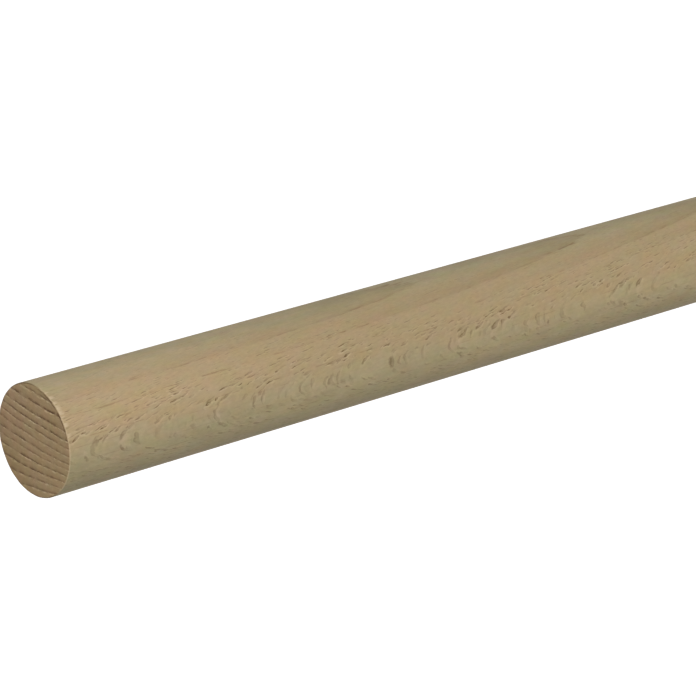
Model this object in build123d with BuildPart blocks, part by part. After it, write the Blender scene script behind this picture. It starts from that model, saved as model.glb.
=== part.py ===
from build123d import *

import os

# A plain round hardwood dowel rod, planed to a constant diameter and sawn square at both ends.
#
# Units are millimetres. The rod stands on its lower end: the origin is the centre of that end face,
# and +Z runs up the rod's axis to the upper end.

# Driving dimensions
ROD_DIAMETER = 28.0
ROD_LENGTH = 1000.0
# The sharp corner left by the saw is broken by a light pass of sandpaper.
ARRIS_RADIUS = 0.3

# The rod is one piece of wood: a round section run out to its full length.
with BuildPart() as dowel_rod:
    with BuildSketch(Plane.XY):
        Circle(radius=ROD_DIAMETER / 2)
    extrude(amount=ROD_LENGTH)
    # Both end arrises are eased, so the end faces stay flat inside a narrow rounded rim.
    end_arrises = dowel_rod.edges().filter_by(GeomType.CIRCLE)
    fillet(end_arrises, radius=ARRIS_RADIUS)

dowel_rod.part.label = "dowel_rod"

os.makedirs("parts", exist_ok=True)
export_step(dowel_rod.part, "parts/dowel_rod.step")
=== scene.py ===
"""The looks of a round beech dowel rod, standing on one sawn end.

The wood is one solid figure. Growth rings, rays and pores are worked out from a point's place in the
tree, so the rings on the sawn ends, the arches and lines along the side and the flecks between them
all belong to the same piece of timber. Lengths are in metres.
"""

import math
from collections import namedtuple

import bpy
from mathutils import Matrix, Vector, noise


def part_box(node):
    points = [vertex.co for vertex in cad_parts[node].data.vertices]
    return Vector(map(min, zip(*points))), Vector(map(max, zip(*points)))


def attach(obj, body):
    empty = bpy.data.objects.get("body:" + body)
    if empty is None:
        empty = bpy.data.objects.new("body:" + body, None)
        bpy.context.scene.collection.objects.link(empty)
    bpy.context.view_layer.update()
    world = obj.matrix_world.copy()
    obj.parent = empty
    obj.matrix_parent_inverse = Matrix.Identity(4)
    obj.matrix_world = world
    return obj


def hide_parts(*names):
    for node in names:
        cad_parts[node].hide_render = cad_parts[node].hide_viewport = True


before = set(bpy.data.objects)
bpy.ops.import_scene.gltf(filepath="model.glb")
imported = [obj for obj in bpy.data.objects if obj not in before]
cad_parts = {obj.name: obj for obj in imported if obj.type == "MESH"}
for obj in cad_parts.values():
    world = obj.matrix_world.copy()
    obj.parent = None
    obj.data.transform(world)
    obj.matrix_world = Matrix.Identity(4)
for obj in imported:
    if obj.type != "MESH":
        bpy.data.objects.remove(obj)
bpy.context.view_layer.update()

MM = 0.001

# The rod, as the frame gives it
ROD_LOW, ROD_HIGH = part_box("dowel_rod")
ROD_RADIUS = (ROD_HIGH.x - ROD_LOW.x) / 2
ROD_LENGTH = ROD_HIGH.z - ROD_LOW.z


# Tools for materials

WHITE = (1.0, 1.0, 1.0, 1.0)


def srgb(red, green, blue):
    """A colour written as 8-bit sRGB numbers, as the linear colour that a shader takes."""
    def linear(value):
        value /= 255
        return value / 12.92 if value <= 0.04045 else ((value + 0.055) / 1.055) ** 2.4
    return (linear(red), linear(green), linear(blue), 1.0)


class Nodes:
    """Adds nodes to a tree. Each input is a value or another node's output."""

    def __init__(self, tree):
        self.tree = tree
        tree.nodes.clear()

    def feed(self, socket, value):
        if isinstance(value, bpy.types.NodeSocket):
            self.tree.links.new(value, socket)
        else:
            socket.default_value = value

    def add(self, kind, inputs=None, **settings):
        node = self.tree.nodes.new("ShaderNode" + kind)
        for name, value in settings.items():
            setattr(node, name, value)
        for name, value in (inputs or {}).items():
            self.feed(node.inputs[name], value)
        return node

    def maths(self, operation, *values, clamp=False):
        inputs = dict(enumerate(values))
        return self.add("Math", inputs, operation=operation, use_clamp=clamp).outputs[0]

    def vector(self, operation, *values):
        inputs = dict(enumerate(values))
        return self.add("VectorMath", inputs, operation=operation).outputs[0]

    def join(self, x, y, z):
        return self.add("CombineXYZ", {0: x, 1: y, 2: z}).outputs[0]

    def split(self, vector):
        return self.add("SeparateXYZ", {0: vector}).outputs

    def length(self, x, y, z=0.0):
        return self.add("VectorMath", {0: self.join(x, y, z)}, operation="LENGTH").outputs["Value"]

    def times(self, *factors):
        product = factors[0]
        for factor in factors[1:]:
            product = self.maths("MULTIPLY", product, factor)
        return product

    def step(self, value, low, high):
        """0 at low, 1 at high and a smooth rise between them."""
        inputs = {"Value": value, "From Min": low, "From Max": high}
        return self.add("MapRange", inputs, interpolation_type="SMOOTHSTEP").outputs[0]

    def span(self, share, low, high):
        """low where share is 0, high where it is 1 and an even rise between them."""
        return self.maths("MULTIPLY_ADD", share, high - low, low)

    def shaken(self, value, field, amount):
        """The value, raised or lowered by half the amount where the field is 1 or 0."""
        return self.maths("MULTIPLY_ADD", self.maths("SUBTRACT", field, 0.5), amount, value)

    def noise(self, place, detail, roughness):
        """Noise from 0 to 1 with features of about one unit of place."""
        inputs = {"Vector": place, "Scale": 1.0, "Detail": detail, "Roughness": roughness}
        return self.add("TexNoise", inputs).outputs["Fac"]

    def curve(self, value, points):
        """A curve through points of (value, height), both from 0 to 1, straight between them."""
        node = self.add("FloatCurve", {"Value": value})
        curve = node.mapping.curves[0]
        while len(curve.points) < len(points):
            curve.points.new(0.5, 0.5)
        for point, place in zip(curve.points, points):
            point.location = place
            point.handle_type = "VECTOR"
        node.mapping.update()
        return node.outputs[0]

    def blend(self, factor, first, second, mode="MIX"):
        """The first colour where the factor is 0, and the two together in this mode where it is 1."""
        node = self.add("Mix", data_type="RGBA", blend_type=mode)
        for name, value in (("Factor_Float", factor), ("A_Color", first), ("B_Color", second)):
            self.feed(next(s for s in node.inputs if s.identifier == name), value)
        return next(s for s in node.outputs if s.identifier == "Result_Color")

    def tint(self, color, share, amounts):
        """The colour with its channels raised by these parts of themselves, in full where share is 1."""
        factors = [self.maths("MULTIPLY_ADD", share, amount, 1.0) for amount in amounts]
        return self.blend(1.0, color, self.join(*factors), "MULTIPLY")

    def vary(self, color, field, amounts):
        """The colour raised by these amounts where the field is 1, and lowered by them where it is 0."""
        return self.tint(color, self.maths("MULTIPLY_ADD", field, 2.0, -1.0), amounts)


def seen_directly(nodes):
    """1 for the rays that see a backdrop as it is: from the camera, in a gloss or through glass."""
    path = nodes.add("LightPath").outputs
    glossy = nodes.maths("MAXIMUM", path["Is Glossy Ray"], path["Is Transmission Ray"])
    return nodes.maths("MAXIMUM", path["Is Camera Ray"], glossy)


# Camera, lamps and backdrop

CAMERA_PLACE = Vector((0.28566, -0.62058, 1.45170))
CAMERA_AIM = Vector((0.02051, -0.04356, 0.94021))
CAMERA_UP = Vector((1, 0, 0))
CAMERA_LENS = 180.03
CAMERA_CLIP = 0.01

KEY_FROM = Vector((0.559, -0.829, 0.741))
KEY_STRENGTH = 2.46
FILL_FROM = Vector((-0.574, 0.819, 0.364))
FILL_STRENGTH = 1.17
LAMP_DEGREES = 30

# What the world and the floor give the object as light, and how the floor is lifted to white where it
# is seen directly
WORLD_STRENGTH = 0.12
FLOOR_COLOR = (0.7, 0.7, 0.7, 1.0)
FLOOR_LIFT = 0.68
FLOOR_HALF = 4.0


def facing(place, aim, up):
    """The matrix of a camera or lamp at place that looks at aim, with up towards its top."""
    back = (place - aim).normalized()
    right = up.cross(back).normalized()
    top = back.cross(right)
    turn = Matrix((right, top, back)).transposed()
    return Matrix.Translation(place) @ turn.to_4x4()


def add_object(name, data):
    made = bpy.data.objects.new(name, data)
    bpy.context.scene.collection.objects.link(made)
    return made


def add_camera():
    data = bpy.data.cameras.new("camera")
    data.lens = CAMERA_LENS
    data.clip_start = CAMERA_CLIP
    camera = add_object("camera", data)
    camera.matrix_world = facing(CAMERA_PLACE, CAMERA_AIM, CAMERA_UP)
    bpy.context.scene.camera = camera


def add_lamps():
    """A key lamp and a weaker one from the other side, both large and far away."""
    for name, place, strength in (("key", KEY_FROM, KEY_STRENGTH), ("fill", FILL_FROM, FILL_STRENGTH)):
        data = bpy.data.lights.new(name, "SUN")
        data.energy = strength
        data.angle = math.radians(LAMP_DEGREES)
        lamp = add_object(name, data)
        lamp.matrix_world = facing(place, Vector((0, 0, 0)), Vector((0, 0, 1)))


def light_world():
    world = bpy.data.worlds.new("studio")
    world.use_nodes = True
    bpy.context.scene.world = world
    nodes = Nodes(world.node_tree)
    direct = seen_directly(nodes)
    strength = nodes.add("MapRange", {"Value": direct, "To Min": WORLD_STRENGTH, "To Max": 1.0})
    shader = nodes.add("Background", {"Color": WHITE, "Strength": strength.outputs[0]})
    nodes.add("OutputWorld", {"Surface": shader.outputs[0]})


def floor_material():
    material = bpy.data.materials.new("floor")
    material.use_nodes = True
    nodes = Nodes(material.node_tree)
    lift = nodes.maths("MULTIPLY", seen_directly(nodes), FLOOR_LIFT)
    diffuse = nodes.add("BsdfDiffuse", {"Color": FLOOR_COLOR})
    glow = nodes.add("Emission", {"Color": WHITE, "Strength": lift})
    both = nodes.add("AddShader", {0: diffuse.outputs[0], 1: glow.outputs[0]})
    nodes.add("OutputMaterial", {"Surface": both.outputs[0]})
    return material


def add_floor():
    mesh = bpy.data.meshes.new("floor")
    corners = [(x * FLOOR_HALF, y * FLOOR_HALF, 0) for x, y in ((-1, -1), (1, -1), (1, 1), (-1, 1))]
    mesh.from_pydata(corners, [], [(0, 1, 2, 3)])
    mesh.materials.append(floor_material())
    add_object("floor", mesh)


# The rod's mesh

# Each end is a square grid of cells drawn out to a disc, and its rim is a loop of the side
GRID_CELLS = 64
SEGMENTS = 4 * GRID_CELLS
SIDE_STEP = 6.0 * MM
ARRIS_STEPS = 5
# Closer loops up the side next to each arris, counted from where its rounding ends at most
SUPPORT_LOOPS = (0.15 * MM, 0.75 * MM, 2.15 * MM)

# Wood shrinks most along the rings, and planing leaves low waves
SHRINKAGE = 0.04 * MM
PLANING_WAVES = 0.02 * MM
WAVES_ROUND = 1.5
WAVE_LENGTH = 45 * MM

# The sanded arris, and the unevenness of the sawn end, which fades out next to the rim
ARRIS_SIZE = 0.30 * MM
ARRIS_UNEVEN = 0.12 * MM
ARRIS_WAVES_ROUND = 6
ARRIS_SAMPLE = 7
END_RELIEF = 0.03 * MM
END_RELIEF_SIZE = 1.5 * MM
END_RELIEF_FADE = 0.8 * MM

# The bake map: strips of the side next to each other, and the two ends one above the other
MAP_STRIPS = 3
MAP_GAP = 0.006
STRIP_LENGTH = ROD_LENGTH / MAP_STRIPS
MAP_SCALE = (1 - 2 * MAP_GAP) / STRIP_LENGTH
STRIP_WIDTH = 2 * math.pi * ROD_RADIUS * MAP_SCALE
END_MAP_RADIUS = (1 - MAP_STRIPS * (STRIP_WIDTH + MAP_GAP) - 2 * MAP_GAP) / 2
LOWER_END_MAP = (1 - MAP_GAP - END_MAP_RADIUS, 0.25)
UPPER_END_MAP = (1 - MAP_GAP - END_MAP_RADIUS, 0.75)


def noise_round(angle, waves, along):
    """Noise from -1 to 1 that closes on itself round the rod."""
    return noise.noise(Vector((math.cos(angle) * waves, math.sin(angle) * waves, along)))


def skin_radius(angle, height):
    """The planed skin: a shade narrower along the rings, and not quite even."""
    pith_angle = math.atan2(PITH_Y, PITH_X)
    oval = SHRINKAGE * math.sin(angle - pith_angle) ** 2
    waves = PLANING_WAVES * (0.5 + 0.5 * noise_round(angle, WAVES_ROUND, height / WAVE_LENGTH))
    return ROD_RADIUS - oval - waves


def arris_size(angle, end):
    """How far the sanded arris is rounded off."""
    return ARRIS_SIZE + ARRIS_UNEVEN * noise_round(angle, ARRIS_WAVES_ROUND, ARRIS_SAMPLE + end)


def side_heights():
    """The heights of the loops up the side between the arrises. The strips' borders are among them."""
    steps = math.ceil(STRIP_LENGTH / SIDE_STEP)
    even = [STRIP_LENGTH * i / steps for i in range(1, MAP_STRIPS * steps)]
    near = [ARRIS_SIZE + ARRIS_UNEVEN + distance for distance in SUPPORT_LOOPS]
    return near + even + [ROD_LENGTH - height for height in reversed(near)]


def rod_loops():
    """Every loop of vertices round the rod, from the lower end's rim to the upper end's."""
    angles = [2 * math.pi * i / SEGMENTS for i in range(SEGMENTS)]

    def arris(end, turn):
        """A loop on the rounded edge: turn runs from 0, on the side, to 90 degrees, on the end."""
        loop = []
        for angle in angles:
            size = arris_size(angle, end)
            radius = skin_radius(angle, end) - size * (1 - math.cos(turn))
            inward = size * (1 - math.sin(turn))
            height = inward if end == 0 else end - inward
            loop.append((radius * math.cos(angle), radius * math.sin(angle), height))
        return loop

    turns = [math.pi / 2 * i / ARRIS_STEPS for i in range(ARRIS_STEPS + 1)]
    loops = [arris(0, turn) for turn in reversed(turns)]
    for height in side_heights():
        radii = [skin_radius(angle, height) for angle in angles]
        loops.append([(r * math.cos(a), r * math.sin(a), height) for r, a in zip(radii, angles)])
    loops += [arris(ROD_LENGTH, turn) for turn in turns]
    return loops


def side_faces(loops):
    """The faces between the loops, and where each of their corners lies on the bake map."""
    faces = []
    places = []
    heights = [sum(point[2] for point in loop) / SEGMENTS for loop in loops]
    for low in range(len(loops) - 1):
        middle = (heights[low] + heights[low + 1]) / 2
        strip = min(int(middle / STRIP_LENGTH), MAP_STRIPS - 1)
        left = MAP_GAP + strip * (STRIP_WIDTH + MAP_GAP)
        for i in range(SEGMENTS):
            j = (i + 1) % SEGMENTS
            a, b = low * SEGMENTS, (low + 1) * SEGMENTS
            faces.append((a + i, a + j, b + j, b + i))
            for turn, loop in ((i, low), (i + 1, low), (i + 1, low + 1), (i, low + 1)):
                u = left + STRIP_WIDTH * turn / SEGMENTS
                v = MAP_GAP + (heights[loop] - strip * STRIP_LENGTH) * MAP_SCALE
                places.append((u, v))
    return faces, places


def disc_place(column, row):
    """A grid point on a disc of radius 1. The grid's rim falls on evenly spaced angles."""
    across = 2 * column / GRID_CELLS - 1
    along = 2 * row / GRID_CELLS - 1
    if across == 0 and along == 0:
        return 0.0, 0.0
    if abs(across) > abs(along):
        radius = across
        angle = math.pi / 4 * along / across
    else:
        radius = along
        angle = math.pi / 2 - math.pi / 4 * across / along
    return radius * math.cos(angle), radius * math.sin(angle)


def end_grid(rim, rim_start, end, vertices):
    """Adds the grid of an end face inside its rim loop. Returns the grid's vertex numbers."""
    inward = 1 if end == 0 else -1
    numbers = {}
    for column in range(GRID_CELLS + 1):
        for row in range(GRID_CELLS + 1):
            x, y = disc_place(column, row)
            turn = math.atan2(y, x) / (2 * math.pi) * SEGMENTS
            at = round(turn) % SEGMENTS
            if column in (0, GRID_CELLS) or row in (0, GRID_CELLS):
                numbers[column, row] = rim_start + at
                continue
            rim_radius = math.hypot(*rim[at][:2])
            x *= rim_radius
            y *= rim_radius
            fade = min(1.0, (rim_radius - math.hypot(x, y)) / END_RELIEF_FADE)
            relief = 0.5 + 0.5 * noise.noise(Vector((x, y, end)) / END_RELIEF_SIZE)
            numbers[column, row] = len(vertices)
            vertices.append((x, y, end + inward * END_RELIEF * fade * relief))
    return numbers


def end_faces(numbers, end, map_middle):
    """The faces of an end's grid, and where each of their corners lies on the bake map."""
    faces = []
    places = []
    for column in range(GRID_CELLS):
        for row in range(GRID_CELLS):
            cells = [(column, row), (column + 1, row), (column + 1, row + 1), (column, row + 1)]
            if end == 0:
                cells.reverse()
            faces.append(tuple(numbers[cell] for cell in cells))
            for cell in cells:
                x, y = disc_place(*cell)
                places.append((map_middle[0] + x * END_MAP_RADIUS, map_middle[1] + y * END_MAP_RADIUS))
    return faces, places


def build_rod():
    loops = rod_loops()
    vertices = [point for loop in loops for point in loop]
    faces, places = side_faces(loops)
    last = (len(loops) - 1) * SEGMENTS
    ends = ((loops[0], 0, 0.0, LOWER_END_MAP), (loops[-1], last, ROD_LENGTH, UPPER_END_MAP))
    for rim, rim_start, end, map_middle in ends:
        numbers = end_grid(rim, rim_start, end, vertices)
        more_faces, more_places = end_faces(numbers, end, map_middle)
        faces += more_faces
        places += more_places

    mesh = bpy.data.meshes.new("beech_rod")
    mesh.from_pydata(vertices, [], faces)
    layer = mesh.uv_layers.new(name="OFBake")
    for spot, place in zip(layer.data, places):
        spot.uv = place
    mesh.polygons.foreach_set("use_smooth", [True] * len(faces))
    mesh.update()
    return add_object("beech_rod", mesh)


# The wood: its place in the tree

# The pith lay beside the rod, and the rod was cut at a slight angle to the grain
PITH_X = 174.3 * MM
PITH_Y = -15.9 * MM
RING_RUNOUT = 0.027
RING_SWING = 1.5 * MM
SWING_LENGTH = 400 * MM
FIBRE_SLOPE = 0.08

# The rings are no true circles: their slope across the rod grows away from the pith
RING_FAN = 7.7
RING_FAN_GROWTH = 560.0
RING_TILT = -0.022

# How far a surface faces along the rod, where it counts as a sawn end, as past the planed side and as
# not yet the flat end
FACING_END = (0.5, 0.85)
OFF_SIDE = (0.1, 0.4)
OFF_FLAT_END = (0.995, 0.9)

# A noise in the wood: the size of its features in millimetres, out from the pith, round it and down
# the fibres, a shift that gives it a sample of its own, and how fine and how rough it is
Noise = namedtuple("Noise", "out around down shift detail roughness", defaults=(2.0, 0.5))

# Noises that the side and the sawn ends share, and where a patch of clear rings starts and is full
PATCH_NOISE = Noise(1.6, 2.4, 30, 0.0)
PATCHES = (0.3, 0.62)
PORE_NOISE = Noise(0.16, 0.16, 2.2, 3.1, 2.0, 0.6)
GRAIN_NOISE = Noise(1.3, 1.3, 22, 8.7, 3.0, 0.55)
MOTTLE_NOISE = Noise(3.5, 3, 6, 9.2, 2.0, 0.6)
YELLOW_NOISE = Noise(4, 3, 6, 11.6, 2.0, 0.6)
# How far the last two move red, green and blue
MOTTLE = (0.08, -0.05, 0.0)
YELLOWING = (0.0, 0.0, 0.16)

# A part of a year's growth: where it starts, is full and starts to end. Each ends with its year.
DARK_ZONE = (0.2, 0.9, 0.94)


class Timber(Nodes):
    """Nodes of a wood material, with the figure that the side and the sawn ends share."""

    def __init__(self, tree):
        super().__init__(tree)
        spot = self.add("TexCoord").outputs
        self.x, self.y, self.z = self.split(spot["Object"])
        self.from_axis = self.length(self.x, self.y)
        self.to_end = self.maths("MINIMUM", self.z, self.maths("SUBTRACT", ROD_LENGTH, self.z))
        facing_up = self.maths("ABSOLUTE", self.split(spot["Normal"])[2])
        self.end = self.step(facing_up, *FACING_END)
        self.arris = self.times(self.step(facing_up, *OFF_SIDE), self.step(facing_up, *OFF_FLAT_END))

        self.place = tree_place(self)
        self.season, self.dark = growth_rings(self)
        self.patchy = self.step(self.figure(PATCH_NOISE), *PATCHES)
        self.zone = self.late_growth(*DARK_ZONE)
        self.pores = self.figure(PORE_NOISE)
        self.grain = self.figure(GRAIN_NOISE)
        self.mottle = self.figure(MOTTLE_NOISE)
        self.yellow = self.figure(YELLOW_NOISE)
        self.rays = ray_layers(self)

    def figure(self, kind):
        """One of the noises in the wood, from 0 to 1."""
        sizes = (kind.out * MM, kind.around * MM, kind.down * MM)
        return self.noise(self.stretched(self.place, sizes, kind.shift), kind.detail, kind.roughness)

    def stretched(self, place, sizes, shift):
        """A place in the tree, measured in cells of these sizes. A shift gives another sample."""
        parts = [self.maths("MULTIPLY_ADD", part, 1 / size, shift) for part, size in zip(place, sizes)]
        return self.join(*parts)

    def late_growth(self, start, full, last, power=1.0):
        """0 before start, 1 from full to last and 0 at the year's end. A power makes it rise late."""
        rise = self.maths("POWER", self.step(self.season, start, full), power)
        return self.times(rise, self.step(self.season, 1.0, last))

    def towards(self, direction):
        """How far a point lies from the rod's axis in this direction across it."""
        along_x = self.maths("MULTIPLY", self.x, direction[0])
        return self.maths("MULTIPLY_ADD", self.y, direction[1], along_x)

    def streak(self, middle, inner, outer):
        """A streak of tint along the rod: 1 within inner of its middle, 0 beyond outer."""
        from_x = self.maths("SUBTRACT", self.x, middle[0])
        from_y = self.maths("SUBTRACT", self.y, middle[1])
        return self.step(self.length(from_x, from_y), outer, inner)


def tree_place(wood):
    """Where a point lies in the tree: out from the pith, round it, and down along the fibres."""
    down = wood.maths("SUBTRACT", ROD_LENGTH, wood.z)
    turn = wood.maths("MULTIPLY", down, 2 * math.pi / SWING_LENGTH)
    swing = wood.maths("MULTIPLY", wood.maths("SINE", turn), -RING_SWING)
    drift = wood.maths("MULTIPLY_ADD", down, RING_RUNOUT, swing)
    to_pith_x = wood.maths("SUBTRACT", wood.maths("ADD", drift, PITH_X), wood.x)
    to_pith_y = wood.maths("SUBTRACT", PITH_Y, wood.y)
    slant = wood.maths("MULTIPLY_ADD", wood.x, -RING_FAN, RING_TILT)
    slant = wood.maths("MULTIPLY_ADD", wood.times(wood.x, wood.x), RING_FAN_GROWTH, slant)
    out = wood.maths("SUBTRACT", wood.length(to_pith_x, to_pith_y), wood.times(wood.y, slant))
    angle = wood.maths("ARCTAN2", to_pith_y, to_pith_x)
    around = wood.maths("MULTIPLY_ADD", angle, PITH_X, wood.times(down, FIBRE_SLOPE))
    return out, around, down


# Growth rings

# At the upper end, out from the pith: each ring's width in millimetres and how dark its latewood is
FIRST_RING = 158.9 * MM
RINGS = (
    (2.0, 0.5), (1.95, 0.8), (2.65, 1.0), (2.7, 0.65), (2.2, 1.0), (1.9, 0.5), (2.1, 0.42),
    (2.2, 0.65), (1.7, 0.3), (2.0, 0.7), (2.2, 0.8), (2.2, 0.65), (2.3, 0.7), (2.1, 0.5),
)
# How often the list is run through, because the lower end lies farther out from the pith
RING_LAPS = 3
# A ring's own darkness is met at this share of its width before its outer edge
DARKEST_BEFORE = 0.1

RING_WOBBLE = 1.0 * MM
WOBBLE_NOISE = Noise(9, 9, 140, 0.0, 3.0, 0.55)
RING_JAGS = 0.5 * MM
JAG_NOISE = Noise(0.5, 0.6, 60, 8.2, 2.0, 0.6)


def growth_rings(wood):
    """How far through its year's growth a point is, from 0 to 1, and how dark its year's latewood is.

    A year's growth darkens towards its latewood, stops at a sharp edge and starts again pale.
    """
    widths = [width * MM for width, dark in RINGS] * RING_LAPS
    darks = [dark for width, dark in RINGS] * RING_LAPS
    count = len(widths)
    total = sum(widths)
    out = wood.shaken(wood.place[0], wood.figure(WOBBLE_NOISE), RING_WOBBLE)
    out = wood.shaken(out, wood.figure(JAG_NOISE), RING_JAGS)
    share = wood.maths("DIVIDE", wood.maths("SUBTRACT", out, FIRST_RING), total)
    borders = [sum(widths[:i]) / total for i in range(count + 1)]
    years = wood.curve(share, [(border, i / count) for i, border in enumerate(borders)])
    darkest = [border - DARKEST_BEFORE * width / total for border, width in zip(borders[1:], widths)]
    dark = wood.curve(share, [(0, darks[0]), *zip(darkest, darks), (1, darks[-1])])
    return wood.maths("FRACT", wood.maths("MULTIPLY", years, count)), dark


# Rays

# A kind of ray: the room that each one has and how far it reaches, both out from the pith, round it
# and down the fibres, how dark it is and a shift that sets the kinds apart
Rays = namedtuple("Rays", "room reach strength shift")
NARROW_RAYS = Rays((8 * MM, 0.64 * MM, 2.6 * MM), (5 * MM, 0.056 * MM, 0.95 * MM), 0.52, 7.4)
BROAD_RAYS = Rays((12 * MM, 0.70 * MM, 2.8 * MM), (8 * MM, 0.050 * MM, 1.1 * MM), 0.96, 0.0)

# The least and the most of its kind's thickness and height that a ray has
RAY_THICKNESS = (0.55, 1.45)
RAY_HEIGHT = (0.4, 1.8)
# How much a ray's chance and the crowding have to come to before it shows, and shows in full
RAY_SHOWS = (0.25, 1.15)

# In shares of its reach: how a ray fades at its edge and weakens towards its middle, and how the
# painted highlight beside it fades
RAY_EDGE = (1.6, 0.9)
RAY_INSIDE = (1.0, 0.3)
INSIDE_SHARE = 0.5
HIGHLIGHT_EDGE = (4.0, 1.3)
# In shares of its room: painted shade darkens a ray towards its upper end, and a painted highlight
# lies along one side of it only
SHADED_UPPER_SIDE = (0.12, -0.12)
UNSHADED_LOWER_SHARE = 0.5
HIGHLIGHT_SIDE = (-0.02, 0.02)

# They waver, come in crowds, and down the rod they grow fewer and then more again over this length
RAY_WAVER = 0.35 * MM
WAVER_NOISE = Noise(2.5, 1.3, 2.2, 4.2)
CROWD_NOISE = Noise(7, 3.5, 12, 6.6, 1.0)
CROWDING = (-0.48, 0.82)
SPELL_LENGTH = 250 * MM
SPELL_CROWDING = 0.11

# Across the rod they are plainest where the skin cuts them at a slant. Fewer show where it lies along
# the rings, and they are fainter in these bands of x, by the last number of each.
RINGS_FLAT = (4 * MM, 10 * MM)
FLAT_CROWDING = -0.3
FAINT_BANDS = ((4 * MM, 9 * MM, 0.1), (9 * MM, 13.2 * MM, 0.4), (3.2 * MM, 0.8 * MM, 0.4))


def ray_kind(wood, place, crowd, kind):
    """Thin ribbons of denser tissue that run out from the pith, one in each cell of the wood.

    Returns how dark a ray is, with painted shade at its upper end, and how strong its painted highlight
    is.
    """
    at = wood.stretched(place, kind.room, kind.shift)
    cells = wood.add("TexVoronoi", {"Vector": at, "Scale": 1.0})
    chance = wood.split(cells.outputs["Color"])
    away = wood.split(wood.vector("SUBTRACT", at, cells.outputs["Position"]))
    shares = [room / reach for room, reach in zip(kind.room, kind.reach)]
    out, around, down = [wood.maths("MULTIPLY", part, share) for part, share in zip(away, shares)]
    around = wood.maths("DIVIDE", around, wood.span(chance[1], *RAY_THICKNESS))
    down = wood.maths("DIVIDE", down, wood.span(chance[0], *RAY_HEIGHT))
    reach = wood.length(out, around, down)
    dark = wood.step(wood.maths("ADD", chance[2], crowd), *RAY_SHOWS)

    # Painted shade: the core darkens towards the ray's upper end
    core = wood.times(
        wood.step(reach, *RAY_EDGE),
        dark,
        wood.span(wood.step(reach, *RAY_INSIDE), 1.0, INSIDE_SHARE),
        wood.span(wood.step(away[2], *SHADED_UPPER_SIDE), UNSHADED_LOWER_SHARE, 1.0),
    )
    # The rim is a painted highlight along one side of the ray
    rim = wood.times(wood.step(reach, *HIGHLIGHT_EDGE), dark, wood.step(away[1], *HIGHLIGHT_SIDE))
    return core, wood.maths("SUBTRACT", rim, core, clamp=True)


def ray_layers(wood):
    """How dark each kind of ray is and how strong its painted highlights are, the broad kind last."""
    out, around, down = wood.place
    around = wood.shaken(around, wood.figure(WAVER_NOISE), RAY_WAVER)
    crowd = wood.span(wood.figure(CROWD_NOISE), *CROWDING)
    spell = wood.maths("COSINE", wood.maths("MULTIPLY", down, 2 * math.pi / SPELL_LENGTH))
    crowd = wood.maths("MULTIPLY_ADD", spell, SPELL_CROWDING, crowd)
    crowd = wood.maths("MULTIPLY_ADD", wood.step(wood.x, *RINGS_FLAT), FLAT_CROWDING, crowd)
    clear = 1.0
    for start, full, loss in FAINT_BANDS:
        clear = wood.maths("MULTIPLY_ADD", wood.step(wood.x, start, full), -loss, clear)
    layers = []
    for kind in (NARROW_RAYS, BROAD_RAYS):
        core, rim = ray_kind(wood, (out, around, down), crowd, kind)
        layers.append((wood.times(core, kind.strength, clear), wood.times(rim, kind.strength, clear)))
    return layers


# The planed side

SIDE_PINK = srgb(174, 153, 117)
SIDE_OLIVE = srgb(175, 160, 124)
SIDE_LATE = srgb(136, 116, 80)
RING_LINE = srgb(122, 88, 56)
RAY_CORE = srgb(104, 80, 50)
# The painted highlight beside each ray's dark core, and how strongly it shows
RAY_HIGHLIGHT = srgb(204, 184, 148)
RAY_HIGHLIGHT_SHARE = 0.5

# Streaks of pinker and of browner wood: the middle, and how far off the tint starts to fade and is
# gone. The browner one comes in over this distance from the sawn ends.
PINK_STREAK = ((8.6 * MM, -11 * MM), 4 * MM, 11 * MM)
BROWN_STREAK = ((-4 * MM, -14 * MM), 5 * MM, 11 * MM)
BROWN_FROM_END = (80 * MM, 170 * MM)
BROWNING = (0.036, 0.022, 0.0)

# Nearest to the pith and farthest from it the rings lie flat under the skin, and their dark parts
# show as arches, least of all near the sawn ends and between the patches
ARCHES_FROM_AXIS = (8 * MM, 13 * MM)
ARCHES_FROM_END = (30 * MM, 120 * MM)
ARCH_STRENGTH = (0.08, 0.28)
ARCH_LEAST = 0.03
ARCH_BETWEEN_PATCHES = 0.4

# A thin line of dashes runs along each year's end
LINE_GROWTH = (0.85, 0.95, 0.97)
LINE_STRENGTH = 0.5
DASH_NOISE = Noise(0.8, 0.8, 3.5, 2.7)
DASHES = (0.46, 0.62)

# Noises in the colour, and how far each moves red, green and blue
CLOUD_NOISE = Noise(5, 3.5, 9, 1.9, 2.0, 0.6)
CLOUDS = (0.16, 0.16, 0.16)
CURL_NOISE = Noise(0.7, 0.5, 1.4, 2.3, 2.0, 0.6)
CURLS = (0.13, 0.13, 0.13)
GRAIN = (0.035, 0.035, 0.035)
PORES = (0.03, 0.03, 0.03)

# Painted light: the side is paler next to its sawn ends, towards the pith, where the light falls more
# strongly
LIT_FROM_END = (110 * MM, 5 * MM)
LIT_ACROSS = (-6 * MM, 12 * MM)
PAINTED_LIGHT = (0.19, 0.17, 0.19)


def arches(wood):
    """How strongly the dark part of each year shows on the planed side."""
    flat = wood.step(wood.maths("ABSOLUTE", wood.x), *ARCHES_FROM_AXIS)
    clear = wood.span(wood.step(wood.to_end, *ARCHES_FROM_END), *ARCH_STRENGTH)
    arch = wood.maths("MULTIPLY_ADD", flat, clear, ARCH_LEAST)
    return wood.times(wood.zone, arch, wood.span(wood.patchy, ARCH_BETWEEN_PATCHES, 1.0))


def ring_lines(wood):
    """How strongly the line at each year's end shows on the planed side."""
    dashed = wood.step(wood.figure(DASH_NOISE), *DASHES)
    return wood.times(wood.late_growth(*LINE_GROWTH), wood.dark, wood.patchy, dashed, LINE_STRENGTH)


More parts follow.
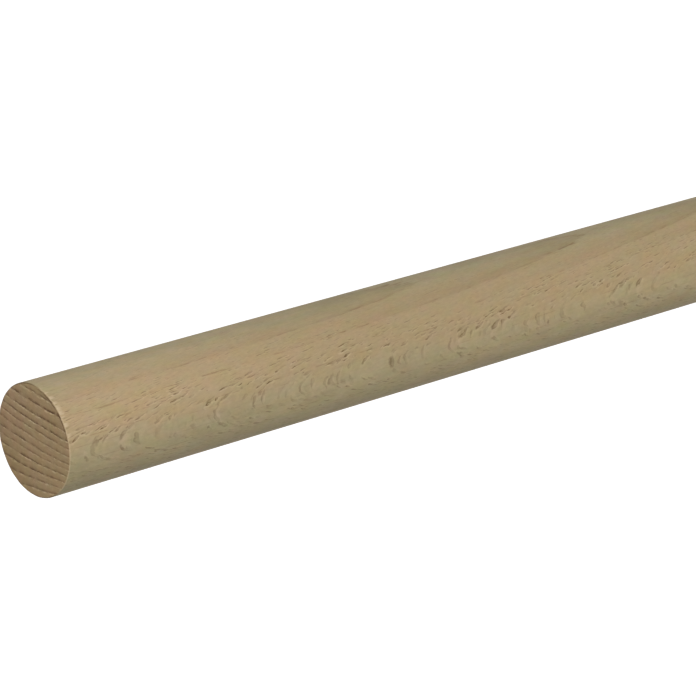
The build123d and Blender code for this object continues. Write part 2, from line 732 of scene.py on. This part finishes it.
def side_color(wood):
    """The planed side: pinkish wood between olive wood, arches, thin ring lines and ray flecks."""
    olive = wood.vary(SIDE_OLIVE, wood.figure(CLOUD_NOISE), CLOUDS)
    color = wood.blend(wood.streak(*PINK_STREAK), olive, SIDE_PINK)
    brown = wood.times(wood.streak(*BROWN_STREAK), wood.step(wood.to_end, *BROWN_FROM_END))
    color = wood.tint(color, brown, BROWNING)
    color = wood.blend(arches(wood), color, SIDE_LATE)
    color = wood.blend(ring_lines(wood), color, RING_LINE)
    for core, rim in wood.rays:
        # Each ray's rim is a painted highlight beside its dark core
        color = wood.blend(wood.times(rim, RAY_HIGHLIGHT_SHARE), color, RAY_HIGHLIGHT)
        color = wood.blend(core, color, RAY_CORE)
    color = wood.vary(color, wood.mottle, MOTTLE)
    color = wood.vary(color, wood.yellow, YELLOWING)
    color = wood.vary(color, wood.figure(CURL_NOISE), CURLS)
    color = wood.vary(color, wood.grain, GRAIN)
    color = wood.vary(color, wood.pores, PORES)
    # Painted light on the side next to its ends
    painted_light = wood.times(wood.step(wood.to_end, *LIT_FROM_END), wood.step(wood.x, *LIT_ACROSS))
    return wood.tint(color, painted_light, PAINTED_LIGHT)


# The sawn ends

END_PINK = srgb(157, 131, 99)
END_OLIVE = srgb(156, 132, 96)
END_ZONE = srgb(118, 88, 55)
END_LATE = srgb(72, 46, 16)
END_EARLY_HIGHLIGHT = srgb(200, 177, 140)
END_PINK_STREAK = ((5 * MM, 11 * MM), 4 * MM, 12 * MM)
END_ZONE_SHARE = 0.3
END_RAY_SHARE = 0.2

# The pale strokes at each year's start: paler earlywood, with a painted highlight on the lip of the
# groove that the saw tears there
EARLY_GROWTH = (0.3, 0.05)
STROKE_NOISE = Noise(0.4, 1.2, 20, 15.2, 1.0)
STROKES = (0.42, 0.6)

# The dark line at each year's end: where it rises, is full and starts to end, and how late it rises.
# It is weaker between the patches and where it is broken.
LATE_GROWTH = (0.36, 0.93, 0.95)
LATE_POWER = 3.6
LATE_BETWEEN_PATCHES = 0.25
BREAK_NOISE = Noise(0.6, 2.2, 30, 13.6, 3.0, 0.6)
BREAKS = (0.32, 0.58)
BROKEN_STRENGTH = (0.6, 1.15)
# It is weaker near the rim, and on the side that faces this way
NEAR_RIM = (8 * MM, 13 * MM)
RIM_STRENGTH = (1.1, 0.77)
WEAK_WAY = (-0.7, -0.7)
WEAK_ACROSS = (2 * MM, 9 * MM)
WEAK_STRENGTH = (1.0, 0.8)

# Noises in the colour, and how far each moves red, green and blue
BAND_NOISE = Noise(0.4, 2, 30, 4.9)
END_BANDS = (0.16, 0.17, 0.19)
END_GRAIN = (0.10, 0.11, 0.12)
END_PORES = (0.12, 0.12, 0.12)

# Painted shade: the end darkens towards the side that faces this way, away from the key lamp
SHADE_WAY = (-0.8, 1.0)
SHADE_ACROSS = (2 * MM, 17 * MM)
PAINTED_SHADE = (-0.12, -0.14, -0.18)


def late_lines(wood):
    """How strongly the line at each year's end shows on the sawn end."""
    broken = wood.step(wood.figure(BREAK_NOISE), *BREAKS)
    weak = wood.step(wood.towards(WEAK_WAY), *WEAK_ACROSS)
    return wood.times(
        wood.late_growth(*LATE_GROWTH, LATE_POWER),
        wood.dark,
        wood.span(wood.patchy, LATE_BETWEEN_PATCHES, 1.0),
        wood.span(broken, *BROKEN_STRENGTH),
        wood.span(wood.step(wood.from_axis, *NEAR_RIM), *RIM_STRENGTH),
        wood.span(weak, *WEAK_STRENGTH),
    )


def end_color(wood):
    """The sawn end: darker than the side, with dark year ends and pale year starts, partly painted
    highlight.
    """
    color = wood.blend(wood.streak(*END_PINK_STREAK), END_OLIVE, END_PINK)
    color = wood.blend(wood.times(wood.zone, wood.patchy, END_ZONE_SHARE), color, END_ZONE)
    strokes = wood.step(wood.figure(STROKE_NOISE), *STROKES)
    # Pale earlywood strokes, partly a painted highlight
    early_highlight = wood.times(wood.step(wood.season, *EARLY_GROWTH), wood.patchy, wood.dark, strokes)
    color = wood.blend(early_highlight, color, END_EARLY_HIGHLIGHT)
    color = wood.blend(late_lines(wood), color, END_LATE)
    broad_core = wood.rays[-1][0]
    color = wood.blend(wood.times(broad_core, END_RAY_SHARE), color, END_LATE)
    color = wood.vary(color, wood.mottle, MOTTLE)
    color = wood.vary(color, wood.yellow, YELLOWING)
    color = wood.vary(color, wood.figure(BAND_NOISE), END_BANDS)
    color = wood.vary(color, wood.grain, END_GRAIN)
    color = wood.vary(color, wood.pores, END_PORES)
    # Painted shade across the end, away from the key lamp
    return wood.tint(color, wood.step(wood.towards(SHADE_WAY), *SHADE_ACROSS), PAINTED_SHADE)


# The sawn edge

# Torn, pale fibres stand a short way along the side where the edge is rough. Along the arris, on the
# side towards the key lamp, pale fibres carry a painted highlight.
FRAYED_AND_HIGHLIGHT = srgb(214, 192, 158)
LIT_ARRIS_WAY = (0.26, -0.97)
LIT_ARRIS_ACROSS = (2 * MM, 8 * MM)
LIT_ARRIS_SHARE = 0.35
ROUGH_WAY = (0.77, -0.64)
ROUGH_ACROSS = (10.5 * MM, 13.2 * MM)
TORN_NOISE = Noise(0.9, 0.8, 30, 6.1)
TORN = (0.48, 0.58)
TORN_FROM_END = (1.7 * MM, 0.4 * MM)
TORN_SHARE = 0.75

# Inside the rough edge the saw left a dark line, and the arris is darkened as painted shade where it
# isn't lit
SEAM_STARTS = (13.1 * MM, 13.5 * MM)
SEAM_ENDS = (13.85 * MM, 13.6 * MM)
SEAM_NOISE = Noise(2, 2, 30, 3.7)
SEAM_BREAKS = (0.3, 0.55)
SEAM_SHARE = 0.6
SHADED_ARRIS_SHARE = 0.6


def edge_color(wood, color):
    """The colour with the sawn edge's torn fibres and dark line, and its arris's painted highlight and
    shade.
    """
    lit_arris = wood.step(wood.towards(LIT_ARRIS_WAY), *LIT_ARRIS_ACROSS)
    rough = wood.step(wood.towards(ROUGH_WAY), *ROUGH_ACROSS)
    torn = wood.times(
        wood.step(wood.figure(TORN_NOISE), *TORN),
        wood.step(wood.to_end, *TORN_FROM_END),
        TORN_SHARE,
        wood.maths("SUBTRACT", 1.0, wood.end),
        rough,
    )
    # Torn fibres, and the arris's pale fibres with a painted highlight towards the key lamp
    frayed_and_highlight = wood.maths("MAXIMUM", torn, wood.times(wood.arris, lit_arris, LIT_ARRIS_SHARE))
    color = wood.blend(frayed_and_highlight, color, FRAYED_AND_HIGHLIGHT)

    seam = wood.times(
        wood.step(wood.from_axis, *SEAM_STARTS),
        wood.step(wood.from_axis, *SEAM_ENDS),
        wood.end,
        rough,
        wood.step(wood.figure(SEAM_NOISE), *SEAM_BREAKS),
        SEAM_SHARE,
    )
    # Painted shade along the arris away from the key lamp
    shaded_arris = wood.times(wood.arris, wood.maths("SUBTRACT", 1.0, lit_arris), SHADED_ARRIS_SHARE)
    return wood.blend(wood.maths("MAXIMUM", seam, shaded_arris), color, END_LATE)


# The surface and the material

RAY_DEPTH = 0.025 * MM
PORE_RELIEF = 0.004 * MM
SAW_NOISE = Noise(0.45, 0.9, 8, 12.2)
SAW_RELIEF = 0.038 * MM
# The saw tears a groove at each year's start: its place in the year, its sides and its depth
GROOVE_AT = 0.05
GROOVE_SIDES = (0.12, 0.02)
GROOVE_DEPTH = 0.05 * MM

SIDE_ROUGHNESS = 0.66
END_ROUGHNESS = 0.80
SPECULAR = 0.2


def surface_height(wood):
    """How far the surface stands out, in metres: rays and pores lie low, and the saw tears the rings."""
    depth = 0.0
    for core, rim in wood.rays:
        depth = wood.maths("MAXIMUM", depth, core)
    side = wood.maths("MULTIPLY_ADD", wood.pores, PORE_RELIEF, wood.times(depth, -RAY_DEPTH))
    turned = wood.maths("FRACT", wood.maths("ADD", wood.season, 0.5 - GROOVE_AT))
    to_groove = wood.maths("ABSOLUTE", wood.maths("SUBTRACT", turned, 0.5))
    groove = wood.times(wood.step(to_groove, *GROOVE_SIDES), wood.patchy, wood.dark)
    torn = wood.times(groove, -GROOVE_DEPTH)
    end = wood.maths("MULTIPLY_ADD", wood.figure(SAW_NOISE), SAW_RELIEF, torn)
    return wood.maths("MULTIPLY_ADD", wood.end, wood.maths("SUBTRACT", end, side), side)


def wood_material():
    material = bpy.data.materials.new("beech")
    material.use_nodes = True
    wood = Timber(material.node_tree)
    color = wood.blend(wood.end, side_color(wood), end_color(wood))
    bump = wood.add("Bump", {"Height": surface_height(wood), "Distance": 1.0, "Strength": 1.0})
    shader = wood.add("BsdfPrincipled", {
        "Base Color": edge_color(wood, color),
        "Roughness": wood.span(wood.end, SIDE_ROUGHNESS, END_ROUGHNESS),
        "Specular IOR Level": SPECULAR,
        "Normal": bump.outputs[0],
    })
    wood.add("OutputMaterial", {"Surface": shader.outputs[0]})
    return material


def dress_rod():
    rod = build_rod()
    rod.data.materials.append(wood_material())
    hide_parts("dowel_rod")
    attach(rod, "root")


bpy.context.scene.view_settings.view_transform = "Standard"
add_camera()
add_lamps()
light_world()
add_floor()
dress_rod()
